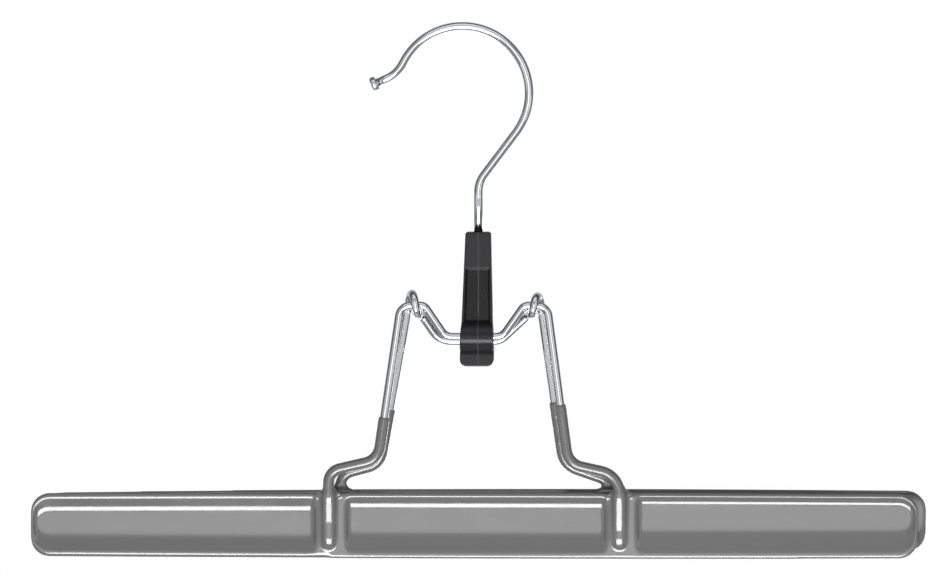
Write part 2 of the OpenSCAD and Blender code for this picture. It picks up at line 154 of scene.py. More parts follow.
class HangerFrameSizes(bpy.types.PropertyGroup):
    """Sizes of the two frame wires."""

    wire_d: length("Frame wire diameter", "Diameter of the frames' drawn wire", 3.3)
    shift: FloatProperty(
        name="Side play", description="How far the frames sit to the side of the shank",
        default=-1.35 * MM, precision=5, unit="LENGTH",
    )
    rear_lag: length("Rear garland drop", "How much lower the rear garland hangs", 2)
    garland: lengths("Front garland", "Front garland's corners from the frames' middle", 11.5, 10.8)
    rear_garland: lengths("Rear garland", "Rear garland's corners from the frames' middle", 14.1, 10)
    shoulder: lengths("Shoulders", "Inner ends of the hinge straights from the frames' middle", 19.8, 19.4)
    outer: lengths("Outer corners", "Outer ends of the hinge straights from the frames' middle", 29.1, 28.4)
    eye_half: length("Eyes", "Half the distance between the eyes", 23.9)
    eye_pitch: length("Eye pitch", "How far an eye moves inwards from back to front", 2.7)
    eye_rise: lengths("Eye rise", "How much higher an eye's top stands than a snug one", 1, 0)
    eye_play: length("Eye play", "Running clearance of the eyes", 0.3)
    knee: lengths("Front knees", "Front knees from the frames' middle", 37.9, 36.7)
    knee_drop: lengths("Front knee drop", "Drop from the hinge line to the front knees", 60.5, 61.9)
    foot_drop: lengths("Front foot drop", "Drop from the hinge line to the front feet", 65, 66.3)
    rear_knee: lengths("Rear knees", "Rear knees from the frames' middle", 37.6, 34.8)
    rear_knee_drop: lengths("Rear knee drop", "Drop from the hinge line to the rear knees", 63, 63.2)
    rear_foot_drop: lengths("Rear foot drop", "Drop from the hinge line to the rear feet", 67.1, 69.5)
    garland_r: length("Garland bend", "Bend radius of the front garland's corners", 5)
    rear_garland_r: lengths("Rear garland bend", "Bend radius of the rear garland's corners", 9, 7)
    shoulder_r: length("Shoulder bend", "Bend radius between garland and hinge straight", 3)
    outer_r: length("Outer bend", "Bend radius between hinge straight and leg", 4.7)
    eye_r: length("Eye bend", "Bend radius of the eyes", 3.4)
    eye_exit_r: length("Eye exit bend", "Bend radius where an eye runs on into the garland", 2.5)
    knee_r: lengths("Front knee bend", "Bend radius of the front knees", 7.5, 7.5)
    rear_knee_r: lengths("Rear knee bend", "Bend radius of the rear knees", 7.5, 9)
    foot_r: lengths("Front foot bend", "Bend radius of the front feet", 5.5, 9)
    rear_foot_r: lengths("Rear foot bend", "Bend radius of the rear feet", 5.5, 5.5)
    press_r: length("Press bend", "Bend radius where a foot leans in and straightens", 10)
    coat_drop: lengths("Front coating edge", "Drop from the hinge line to the coating's edge in front", 43.8, 38.7)
    rear_coat_drop: lengths("Rear coating edge", "Drop from the hinge line to the coating's edge behind", 41, 37.9)


class HangerJawSizes(bpy.types.PropertyGroup):
    """Sizes of the dipped jaws."""

    height: length("Jaw height", "Height of a jaw over its coating", 26.1)
    corner_r: length("Jaw corner", "Corner radius of a jaw", 7.5)
    gap: length("Jaw gap", "Gap between the closed jaws", 0.3)
    skin: length("Rim thickness", "Thickness of a jaw at its rim, coating included", 2)
    coat: length("Coating", "Thickness of the dipped coating", 0.6)
    sink: length("Panel depth", "Depth of the panels pressed inwards", 1.8)
    lean: length("Panel lean", "How much deeper a panel lies at its lower edge than at its upper one", 0.3)
    ease: length("Easing", "How far the smoothing draws a jaw's edges in", 0.03)
    crown: per_jaw("Crown", "Narrowing of a jaw's edge towards its ends", 0.45, 1.2)
    slant: per_jaw("Slant", "Rise of a jaw from its middle to its right end", 0.2, 0.85)
    upper_rim: length("Upper rim", "Width of the rim above the panels", 1.5)
    upper_round: length("Upper rounding", "Depth of the rounding of the upper edge", 1.2)
    lower_rim: lengths("Lower rims", "Width of the rims below the panels", 2.2, 1, 0.9)
    lower_round: lengths("Lower roundings", "Depth of the rounding of the lower edge", 1.65, 0.5, 0.4)
    end_rim: length("End rim", "Width of the rim at the jaw's ends", 0.6)
    upper_wall: lengths("Upper walls", "Width of the panels' upper walls", 5.8, 4.6, 2.4)
    upper_bend: length("Upper wall bend", "Radius between a panel's upper wall and its floor", 5.5)
    lower_wall: lengths("Lower walls", "Width of the panels' lower walls", 7.9, 9, 9.9)
    lower_bend: length("Lower wall bend", "Radius between a panel's lower wall and its floor", 11)
    end_wall: length("End walls", "Width of the panels' walls at their ends", 2.1)
    end_bend: length("End wall bend", "Radius between a panel's end wall and its floor", 1.5)
    panel_r: length("Panel corner", "Corner radius of the panels beside a leg", 2)
    leg_gap: length("Leg gap", "Gap between two panels, where a leg crosses", 11.4)
    leg_gap_shift: length("Leg gap shift", "How far the gap's middle lies to the right of its leg", 0.8)
    leg_w: length("Flattened leg", "Width of a leg where it is pressed flat on the jaw", 5.4)
    leg_slope: FloatProperty(name="Leg slope", description="Slope of a leg's face towards the jaw", default=0.1)
    leg_level: lengths("Leg levels", "Drop from a jaw's upper edge to where its legs' faces level out", 12.2, 15.3)
    leg_fillet: length("Leg fillet", "Height over which a leg's flank runs into the jaw's face", 1.6)
    dip_step: length("Dip detail", "Spacing of the points on the dip before it is fused", 0.45)
    sheet_step: length("Sheet detail", "Spacing of the points on the sheets", 1.2)
    thinnest: length("Least sheet", "Thickness of the sheet where the dip is thinnest", 0.3)
    leg_fade: length("Leg fade", "Length over which the end of a leg sinks into the jaw", 5)
    foot_short: length("Foot end", "How far a wire's hidden foot ends short of its place in the dip's thin end", 3.5)
    web_r: length("Web", "Radius of the dip's webs between a leg and the jaw's edge", 2.6)
    voxel: length("Skin detail", "Mesh size of the dipped skin", 0.51)


class HangerColours(bpy.types.PropertyGroup):
    """Colours of the hanger and its stage."""

    chrome: colour("Chrome", "Bright chrome plate over nickel", "#d6d8da")
    moulding: colour("Moulding", "Black polypropylene", "#252527")
    # Painted shade: the darker colour given to the latch's recess
    recess_shade: colour("Recess", "Black polypropylene as sparked, in the latch's recess", "#060607")
    # Colour of real dust and scuffs, and also of the painted highlight along the parting line's ridge
    scuff_and_ridge_highlight: colour("Scuffs", "Dust, scuffs and the parting line on the moulding", "#4a4a4c")
    dip: colour("Plastisol", "Grey plastisol dip", "#656565")
    dip_dark: colour("Plastisol, thin", "Plastisol where it lies thin or dusty", "#5b5b5b")
    sheet: colour("Sheet steel", "Pressed sheet steel under the dip", "#8c8e90")
    floor: colour("Floor", "Pale studio floor", "#f4f4f4")


def linear(hex_value):
    """sRGB hex to linear red, green, blue and alpha."""
    channels = [int(hex_value[i : i + 2], 16) / 255 for i in (1, 3, 5)]
    return [c / 12.92 if c <= 0.04045 else ((c + 0.055) / 1.055) ** 2.4 for c in channels] + [1.0]


def add_node(tree, kind, values=(), links=(), **settings):
    """Adds a node: settings by attribute, values by input socket, and links as (input socket, output socket)."""
    node = tree.nodes.new(kind)
    for key, value in settings.items():
        setattr(node, key, value)
    for socket, value in dict(values).items():
        node.inputs[socket].default_value = value
    for socket, source in links:
        tree.links.new(source, node.inputs[socket])
    return node


def new_material(name, surface, values):
    """A material with one Principled shader whose constant values are set on its own sockets."""
    made = bpy.data.materials.new(name)
    made.use_nodes = True
    made.diffuse_color = surface
    shader = made.node_tree.nodes["Principled BSDF"]
    shader.inputs["Base Color"].default_value = surface
    for socket, value in values.items():
        shader.inputs[socket].default_value = value
    return made, made.node_tree, shader


def combined(tree, operation, a, b):
    """One number from two."""
    return add_node(tree, "ShaderNodeMath", (), [(0, a), (1, b)], operation=operation).outputs[0]


def graded(tree, output, stops):
    """A share that changes with a direction's part along an axis, from -1 to 1, through (part, share) stops."""
    half = add_node(tree, "ShaderNodeMapRange", {"From Min": -1.0}, [("Value", output)]).outputs["Result"]
    shade = add_node(tree, "ShaderNodeValToRGB", (), [("Fac", half)])
    ramp = shade.color_ramp
    while len(ramp.elements) < len(stops):
        ramp.elements.new(0.5)
    for element, (part, share) in zip(ramp.elements, stops):
        element.position = (part + 1) / 2
        element.color = (share, share, share, 1.0)
    return shade.outputs["Color"]


def colours():
    """The colours that a user may change."""
    return bpy.context.scene.hanger_colours


def chrome_plate():
    """Bright chrome plate on drawn wire: a clear mirror, with soft undulations and handling haze."""
    made, tree, shader = new_material(
        "chrome_plated_drawn_wire", linear(colours().chrome), {"Metallic": 1.0, "Roughness": 0.07}
    )
    place = add_node(tree, "ShaderNodeTexCoord").outputs["Object"]
    # Handling haze comes and goes over about 6 mm
    haze = add_node(tree, "ShaderNodeTexNoise", {"Scale": 1 / (6 * MM), "Detail": 4.0}, [("Vector", place)])
    rough = add_node(
        tree, "ShaderNodeMapRange", {"From Min": 0.35, "From Max": 0.75, "To Min": 0.035, "To Max": 0.08},
        [("Value", haze.outputs["Fac"])],
    )
    tree.links.new(rough.outputs["Result"], shader.inputs["Roughness"])
    # Plate levels out the wire's draw marks to soft undulations about 1.4 mm apart
    waves = add_node(tree, "ShaderNodeTexNoise", {"Scale": 1 / (1.4 * MM), "Detail": 2.0}, [("Vector", place)])
    bump = add_node(
        tree, "ShaderNodeBump", {"Strength": 0.02, "Distance": 0.05 * MM}, [("Height", waves.outputs["Fac"])]
    )
    tree.links.new(bump.outputs["Normal"], shader.inputs["Normal"])
    return made


# Where the painted shade in the latch's recess fades in, from outside to inside in mm: half its width, its mouth, its
# floor and its foot
RECESS_SHADE_EDGES = ((5.3, 4.9), (-3.7, -3.1), (-0.4, -0.7), (-113.6, -113.0))


def moulded_polypropylene():
    """Black polypropylene from a split mould: half gloss, with a parting line painted lighter as a painted highlight,
    painted shade in the recess and faint scuffs.
    """
    made, tree, shader = new_material(
        "moulded_polypropylene", linear(colours().moulding),
        {"Roughness": 0.2, "IOR": 1.49, "Specular IOR Level": 0.2},
    )
    place = add_node(tree, "ShaderNodeTexCoord").outputs["Object"]
    axis = add_node(tree, "ShaderNodeSeparateXYZ", (), [("Vector", place)])
    side = add_node(tree, "ShaderNodeMath", (), [(0, axis.outputs["X"])], operation="ABSOLUTE")
    # The mould's halves meet at the middle and leave a fine raised line that fades to both sides; it is bumped, and
    # painted lighter as a painted highlight on its ridge
    edge = bpy.context.scene.hanger_latch.line
    line = add_node(
        tree, "ShaderNodeMapRange", {"From Min": edge / 4, "From Max": edge, "To Min": 1.0, "To Max": 0.0},
        [("Value", side.outputs[0])], interpolation_type="SMOOTHSTEP",
    )
    # Painted shade: the recess between the rails is given a darker colour than the faces around it
    recess_shade_share = None
    for place_along, (outside, inside) in zip(
        (side.outputs[0], axis.outputs["Y"], axis.outputs["Y"], axis.outputs["Z"]), RECESS_SHADE_EDGES
    ):
        share = add_node(
            tree, "ShaderNodeMapRange", {"From Min": outside * MM, "From Max": inside * MM}, [("Value", place_along)]
        ).outputs["Result"]
        recess_shade_share = combined(tree, "MULTIPLY", recess_shade_share, share) if recess_shade_share else share
    shade = add_node(
        tree, "ShaderNodeMix", {"A": linear(colours().moulding), "B": linear(colours().recess_shade)},
        [("Factor", recess_shade_share)], data_type="RGBA",
    )
    # Dust and scuff marks, 0.5 to 2 mm across
    specks = add_node(tree, "ShaderNodeTexNoise", {"Scale": 1 / (0.8 * MM), "Detail": 5.0}, [("Vector", place)])
    dusty = add_node(
        tree, "ShaderNodeMapRange", {"From Min": 0.6, "From Max": 0.78, "To Min": 0.0, "To Max": 0.5},
        [("Value", specks.outputs["Fac"])],
    )
    # Dust and scuffs, together with the painted highlight along the parting line
    scuffs_and_ridge_highlight = add_node(
        tree, "ShaderNodeMath", (), [(0, line.outputs["Result"]), (1, dusty.outputs["Result"])], operation="MAXIMUM"
    )
    tint = add_node(
        tree, "ShaderNodeMix", {"B": linear(colours().scuff_and_ridge_highlight)},
        [("Factor", scuffs_and_ridge_highlight.outputs[0]), ("A", shade.outputs["Result"])], data_type="RGBA",
    )
    tree.links.new(tint.outputs["Result"], shader.inputs["Base Color"])
    grain = add_node(tree, "ShaderNodeTexNoise", {"Scale": 1 / (0.35 * MM), "Detail": 3.0}, [("Vector", place)])
    rough = add_node(
        tree, "ShaderNodeMapRange", {"From Min": 0.3, "From Max": 0.7, "To Min": 0.15, "To Max": 0.26},
        [("Value", grain.outputs["Fac"])],
    )
    tree.links.new(rough.outputs["Result"], shader.inputs["Roughness"])
    height = add_node(
        tree, "ShaderNodeMath", {1: 0.25}, [(0, grain.outputs["Fac"]), (2, line.outputs["Result"])],
        operation="MULTIPLY_ADD",
    )
    bump = add_node(
        tree, "ShaderNodeBump", {"Strength": 0.35, "Distance": 0.08 * MM}, [("Height", height.outputs[0])]
    )
    tree.links.new(bump.outputs["Normal"], shader.inputs["Normal"])
    return made


def dipped_plastisol():
    """Plastisol dip, cured glossy: soft orange peel, a slightly cloudy grey and a few dust specks."""
    made, tree, shader = new_material(
        "dipped_plastisol", linear(colours().dip),
        {"Roughness": 0.2, "IOR": 1.54, "Coat Weight": 0.8, "Coat Roughness": 0.06},
    )
    place = add_node(tree, "ShaderNodeTexCoord").outputs["Object"]
    cloud = add_node(tree, "ShaderNodeTexNoise", {"Scale": 1 / (9 * MM), "Detail": 4.0}, [("Vector", place)])
    specks = add_node(tree, "ShaderNodeTexNoise", {"Scale": 1 / (0.55 * MM), "Detail": 3.0}, [("Vector", place)])
    dusty = add_node(
        tree, "ShaderNodeMapRange", {"From Min": 0.66, "From Max": 0.8, "To Min": 0.0, "To Max": 0.6},
        [("Value", specks.outputs["Fac"])],
    )
    shade = add_node(
        tree, "ShaderNodeMath", {1: 0.5}, [(0, cloud.outputs["Fac"]), (2, dusty.outputs["Result"])],
        operation="MULTIPLY_ADD",
    )
    tint = add_node(
        tree, "ShaderNodeMix", {"A": linear(colours().dip), "B": linear(colours().dip_dark)},
        [("Factor", shade.outputs[0])], data_type="RGBA",
    )
    tree.links.new(tint.outputs["Result"], shader.inputs["Base Color"])
    rough = add_node(
        tree, "ShaderNodeMapRange", {"From Min": 0.3, "From Max": 0.7, "To Min": 0.14, "To Max": 0.26},
        [("Value", cloud.outputs["Fac"])],
    )
    tree.links.new(rough.outputs["Result"], shader.inputs["Roughness"])
    # Orange peel about 2.5 mm across, with fine dust on top
    peel = add_node(tree, "ShaderNodeTexNoise", {"Scale": 1 / (2.5 * MM), "Detail": 1.0}, [("Vector", place)])
    height = add_node(
        tree, "ShaderNodeMath", {1: 0.5}, [(0, dusty.outputs["Result"]), (2, peel.outputs["Fac"])],
        operation="MULTIPLY_ADD",
    )
    bump = add_node(
        tree, "ShaderNodeBump", {"Strength": 0.12, "Distance": 0.1 * MM}, [("Height", height.outputs[0])]
    )
    tree.links.new(bump.outputs["Normal"], shader.inputs["Normal"])
    return made


def rolled_sheet():
    """Cold-rolled sheet steel with a fine rolling grain along the jaw."""
    made, tree, shader = new_material(
        "cold_rolled_sheet", linear(colours().sheet), {"Metallic": 1.0, "Roughness": 0.38}
    )
    place = add_node(tree, "ShaderNodeTexCoord").outputs["Object"]
    # Rolling grain: long along X, about 0.3 mm apart across it
    grain = add_node(
        tree, "ShaderNodeMapping", {"Scale": (1 / (12 * MM), 1 / (0.3 * MM), 1 / (0.3 * MM))}, [("Vector", place)]
    )
    lines = add_node(tree, "ShaderNodeTexNoise", {"Scale": 1.0, "Detail": 3.0}, [("Vector", grain.outputs[0])])
    rough = add_node(
        tree, "ShaderNodeMapRange", {"From Min": 0.3, "From Max": 0.7, "To Min": 0.3, "To Max": 0.5},
        [("Value", lines.outputs["Fac"])],
    )
    tree.links.new(rough.outputs["Result"], shader.inputs["Roughness"])
    return made


MATERIALS = {
    "chromed_wire": chrome_plate,
    "black_moulding": moulded_polypropylene,
    "grey_dip": dipped_plastisol,
    "sheet_steel": rolled_sheet,
}


def material(slot):
    """The material for a slot of the record, made once."""
    maker = MATERIALS[slot]
    key = "for_" + slot
    scene = bpy.context.scene
    if key not in scene:
        scene[key] = maker().name
    return bpy.data.materials[scene[key]]


def add_piece(bm, name, body, slot, replaced):
    """Turns a bmesh into a smooth piece that rides on a body and stands for CAD nodes."""
    mesh = bpy.data.meshes.new(name)
    bm.to_mesh(mesh)
    bm.free()
    mesh.shade_smooth()
    piece = bpy.data.objects.new(name, mesh)
    bpy.context.scene.collection.objects.link(piece)
    mesh.materials.append(material(slot))
    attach(piece, body)
    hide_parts(*replaced)


# Wires

RING_SIDES = 32
BEND_STEP = math.radians(4)


def turn_between(points, i):
    """Angle of the turn at corner i."""
    return (points[i] - points[i - 1]).angle(points[i + 1] - points[i])


def setback(points, radii, i):
    """How far from corner i its bend begins."""
    if i in (0, len(points) - 1):
        return 0.0
    return radii[i] * math.tan(turn_between(points, i) / 2)


class WireBender:
    """Draws a round wire through straights and bends, as a bending machine does."""

    def __init__(self, bm, start, heading, radius, sides=RING_SIDES):
        self.bm = bm
        self.place = start.copy()
        self.heading = heading.normalized()
        turn = self.heading.to_track_quat("Z", "Y").to_matrix().to_4x4()
        made = bmesh.ops.create_circle(
            bm, segments=sides, radius=radius, matrix=Matrix.Translation(start) @ turn
        )
        self.first = list({e for v in made["verts"] for e in v.link_edges})
        self.ring = self.first

    def straight(self, distance):
        made = bmesh.ops.extrude_edge_only(self.bm, edges=self.ring)["geom"]
        verts = [v for v in made if isinstance(v, bmesh.types.BMVert)]
        bmesh.ops.translate(self.bm, verts=verts, vec=self.heading * distance)
        self.ring = [e for e in made if isinstance(e, bmesh.types.BMEdge) and set(e.verts) <= set(verts)]
        self.place = self.place + self.heading * distance

    def bend(self, inside, radius, turn):
        """Bends towards the inside direction."""
        centre = self.place + inside * radius
        axis = self.heading.cross(inside).normalized()
        geom = self.ring + list({v for e in self.ring for v in e.verts})
        made = bmesh.ops.spin(
            self.bm, geom=geom, cent=centre, axis=axis, dvec=(0, 0, 0), angle=turn,
            steps=max(2, math.ceil(turn / BEND_STEP)), use_merge=False, use_duplicate=False,
        )["geom_last"]
        self.ring = [e for e in made if isinstance(e, bmesh.types.BMEdge)]
        spin = Matrix.Rotation(turn, 3, axis)
        self.place = centre + spin @ (self.place - centre)
        self.heading = (spin @ self.heading).normalized()

    def cap(self):
        """Closes both ends."""
        for ring in (self.first, self.ring):
            bmesh.ops.contextual_create(self.bm, geom=ring)
        bmesh.ops.recalc_face_normals(self.bm, faces=self.bm.faces)


def bent_wire(bm, points, radii, radius, sides=RING_SIDES):
    """A wire through corner points, each with its bend radius."""
    wire = WireBender(bm, points[0], points[1] - points[0], radius, sides)
    for i in range(1, len(points)):
        span = (points[i] - points[i - 1]).length
        wire.straight(span - setback(points, radii, i - 1) - setback(points, radii, i))
        if i < len(points) - 1:
            onward = (points[i + 1] - points[i]).normalized()
            inside = (onward - onward.project(wire.heading)).normalized()
            wire.bend(inside, radii[i], turn_between(points, i))
    wire.cap()


def to_side(side, distance):
    """Place of something at a distance from the frames' middle. Side 0 is left and 1 right."""
    return bpy.context.scene.hanger_frames.shift + (distance if side else -distance)


def foot_x(node, side):
    """Middle of a frame wire's foot, from its CAD box."""
    low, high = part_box(node)
    r = bpy.context.scene.hanger_frames.wire_d / 2
    return high.x - r if side else low.x + r


def pressed_foot(node, side, leg_y, inwards):
    """The end of a leg, pressed on its jaw: down to the jaw's middle it leans inwards, and then it runs straight."""
    s = bpy.context.scene.hanger_jaws
    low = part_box(node.replace("wire", "jaw_coating"))[0]
    x, end_z = foot_x(node, side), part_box(node)[0].z + s.foot_short
    pressed_y = leg_y + inwards * s.leg_slope * s.height / 2.5
    return [
        Vector((x, pressed_y, end_z)), Vector((x, pressed_y, low.z + s.height / 2)),
        Vector((x, leg_y, low.z + s.height)),
    ]


def front_side(side):
    """Corners of one side of the front frame, from the leg's end to the garland, and their bend radii."""
    s = bpy.context.scene.hanger_frames
    leg_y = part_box("front_wire")[0].y + s.wire_d / 2
    corners = [
        *pressed_foot("front_wire", side, leg_y, 1),
        Vector((foot_x("front_wire", side), leg_y, HINGE.z - s.foot_drop[side])),
        Vector((to_side(side, s.knee[side]), leg_y, HINGE.z - s.knee_drop[side])),
        Vector((to_side(side, s.outer[side]), HINGE.y, HINGE.z)),
        Vector((to_side(side, s.shoulder[side]), HINGE.y, HINGE.z)),
        Vector((to_side(side, s.garland[side]), PIVOT.y, PIVOT.z)),
    ]
    bends = [s.foot_r[side], s.knee_r[side], s.outer_r, s.shoulder_r, s.garland_r]
    return corners, [0, s.press_r, s.press_r, *bends]


def rear_side(side):
    """Corners of one side of the rear frame, round its eye, and their bend radii."""
    s = bpy.context.scene.hanger_frames
    leg_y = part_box("rear_wire")[1].y - s.wire_d / 2
    ring = s.wire_d + s.eye_play
    top = HINGE.z + ring + s.eye_rise[side]
    rear_y = -PIVOT.y
    corners = [
        *pressed_foot("rear_wire", side, leg_y, -1),
        Vector((foot_x("rear_wire", side), leg_y, HINGE.z - s.rear_foot_drop[side])),
        Vector((to_side(side, s.rear_knee[side]), leg_y, HINGE.z - s.rear_knee_drop[side])),
        Vector((to_side(side, s.eye_half + s.eye_pitch / 2), HINGE.y + ring, top)),
        Vector((to_side(side, s.eye_half), HINGE.y - ring, top)),
        Vector((to_side(side, s.eye_half - s.eye_pitch / 2), HINGE.y - ring, HINGE.z - ring)),
        Vector((to_side(side, s.eye_half - s.eye_pitch), rear_y, HINGE.z - ring - s.eye_play)),
        Vector((to_side(side, s.rear_garland[side]), rear_y, PIVOT.z - s.rear_lag)),
    ]
    bends = [s.rear_foot_r[side], s.rear_knee_r[side], *[s.eye_r] * 3, s.eye_exit_r, s.rear_garland_r[side]]
    return corners, [0, s.press_r, s.press_r, *bends]


class HANGER_OT_hook(bpy.types.Operator):
    """Bends the hook wire and presses the button on its tip."""

    bl_idname = "hanger.hook"
    bl_label = "Hook"

    def execute(self, context):
        s = context.scene.hanger_hook
        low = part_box("hook_wire")[0]
        centre_z = -math.sqrt((s.hook_r - s.wire_d / 2) ** 2 - s.hook_offset**2)
        start = Vector((
            s.hook_r * math.cos(s.lean) - s.hook_offset, 0, centre_z - s.hook_r * math.sin(s.lean),
        ))
        corner_z = start.z - start.x / math.tan(s.lean)
        back = s.neck_r * math.tan(s.lean / 2)
        bm = bmesh.new()
        wire = WireBender(bm, Vector((0, 0, low.z)), Vector((0, 0, 1)), s.wire_d / 2)
        wire.straight(corner_z - back - low.z)
        wire.bend(Vector((1, 0, 0)), s.neck_r, s.lean)
        wire.straight((start - Vector((0, 0, corner_z))).length - back)
        wire.bend(self.left_of(wire), s.hook_r, s.lean + s.end_angle)
        wire.bend(-self.left_of(wire), s.tip_r, s.tip_turn)
        wire.straight(s.tip_len)
        wire.cap()
        self.press_button(bm, wire, s)
        self.press_head(bm, low, s)
        add_piece(bm, "bright_hook", "hook", "chromed_wire", ["hook_wire"])
        return {"FINISHED"}

    @staticmethod
    def left_of(wire):
        """The direction to the left of the wire's heading, as seen from the front."""
        return Vector((-wire.heading.z, 0, wire.heading.x))

    @staticmethod
    def press_button(bm, wire, s):
        """Lathes the button: a rounded rim and a shallow dish in its end."""
        r, t, edge = s.button_d / 2, s.button_t, s.button_edge
        steps = 6
        profile = [Vector((s.wire_d / 2 - edge / 4, 0, -edge / 2)), Vector((s.wire_d / 2, 0, edge / 4))]
        for base, first in ((edge, -90), (t - edge, 0)):
            for i in range(steps + 1):
                a = math.radians(first + 90 * i / steps)
                profile.append(Vector((r - edge + edge * math.cos(a), 0, base + edge * math.sin(a))))
        profile += [Vector((r * 0.45, 0, t - s.dish * 0.8)), Vector((0, 0, t - s.dish))]
        profile.insert(0, Vector((0, 0, -edge / 2)))
        lathe(bm, profile, Matrix.Translation(wire.place) @ wire.heading.to_track_quat("Z", "Y").to_matrix().to_4x4())

    @staticmethod
    def press_head(bm, low, s):
        """The head that keeps the shank in the latch."""
        profile = [Vector((x, 0, z)) for x, z in ((0, 0), (s.head_r, 0), (s.head_r, s.head_t), (0, s.head_t))]
        lathe(bm, profile, Matrix.Translation((0, 0, low.z)))


def lathe(bm, profile, place, steps=48):
    """Spins a profile of points in X and Z about Z, from axis to axis, and moves it to its place."""
    verts = [bm.verts.new(p) for p in profile]
    edges = [bm.edges.new(pair) for pair in zip(verts, verts[1:])]
    before = set(bm.verts) - set(verts)
    bmesh.ops.spin(
        bm, geom=verts + edges, cent=(0, 0, 0), axis=(0, 0, 1), dvec=(0, 0, 0), angle=math.tau, steps=steps,
        use_merge=True, use_duplicate=False,
    )
    made = [v for v in bm.verts if v not in before]
    bmesh.ops.remove_doubles(bm, verts=made, dist=0.001 * MM)
    made = [v for v in bm.verts if v not in before]
    bmesh.ops.transform(bm, matrix=place, verts=made)
    bmesh.ops.recalc_face_normals(bm, faces=list({f for v in made for f in v.link_faces}))


class HANGER_OT_frames(bpy.types.Operator):
    """Bends the front and rear frame wires."""

    bl_idname = "hanger.frames"
    bl_label = "Frame wires"

    def execute(self, context):
        s = context.scene.hanger_frames
        for name, frame_side, body, node in (
            ("bright_front_frame", front_side, "front_frame", "front_wire"),
            ("bright_rear_frame", rear_side, "rear_frame", "rear_wire"),
        ):
            (left, left_radii), (right, right_radii) = frame_side(0), frame_side(1)
            bm = bmesh.new()
            bent_wire(bm, left + right[::-1], left_radii + right_radii[::-1], s.wire_d / 2)
            add_piece(bm, name, body, "chromed_wire", [node])
        return {"FINISHED"}


# Moulded and dipped pieces start as solids that are fused by a voxel remesh and then eased


def fused(bm, name, voxel, rounds):
    """Fuses overlapping solids into one skin, and eases its edges by smoothing."""
    mesh = bpy.data.meshes.new(name)
    bm.to_mesh(mesh)
    bm.free()
    rough = bpy.data.objects.new(name, mesh)
    bpy.context.scene.collection.objects.link(rough)
    remesh = rough.modifiers.new("fuse", "REMESH")
    remesh.mode = "VOXEL"
    remesh.voxel_size = voxel
    graph = bpy.context.evaluated_depsgraph_get()
    graph.update()
    skin = bmesh.new()
    skin.from_mesh(rough.evaluated_get(graph).to_mesh())
    bpy.data.objects.remove(rough)
    for _ in range(rounds):
        bmesh.ops.smooth_vert(
            skin, verts=skin.verts, factor=0.5, use_axis_x=True, use_axis_y=True, use_axis_z=True
        )
    return skin


def corner_drop(distance, r):
    """How far an outline with round corners has dropped at a distance from its end."""
    past = min(max(r - distance, 0.0), r)
    return r - math.sqrt(r * r - past * past)


def wall(distance, width, depth, bend):
    """Share of a panel's depth at a distance from its rim: a slope that bends out into the floor."""
    left = min(max(width - distance, 0.0), width)
    if 2 * depth * bend >= width * width:
        return 1 - (left / width) ** 2
    slope = (width - math.sqrt(width * width - 2 * depth * bend)) / bend
    if left < slope * bend:
        return 1 - left * left / (2 * bend * depth)
    return (width - left) * slope / depth


def rounding(distance, width, drop):
    """How far an edge has dropped at a distance from it, as a quarter of an ellipse."""
    t = min(max(distance / width, 0.0), 1.0)
    return drop * (1 - math.sqrt(t * (2 - t)))


def blend_max(a, b, reach):
    """The larger of two heights, with a fillet where they cross."""
    h = max(reach - abs(a - b), 0.0) / reach
    return max(a, b) + h * h * reach / 4


# How fast a leg's flank falls away outside its crest, and how much sooner a panel's back is level than its front
FLANK_STEEPNESS = 2.5
BACK_SPREAD = 1.6
# Rounds of smoothing that ease the edges of the dip and of the moulding
DIP_ROUNDS = 4
MOULDING_ROUNDS = 3


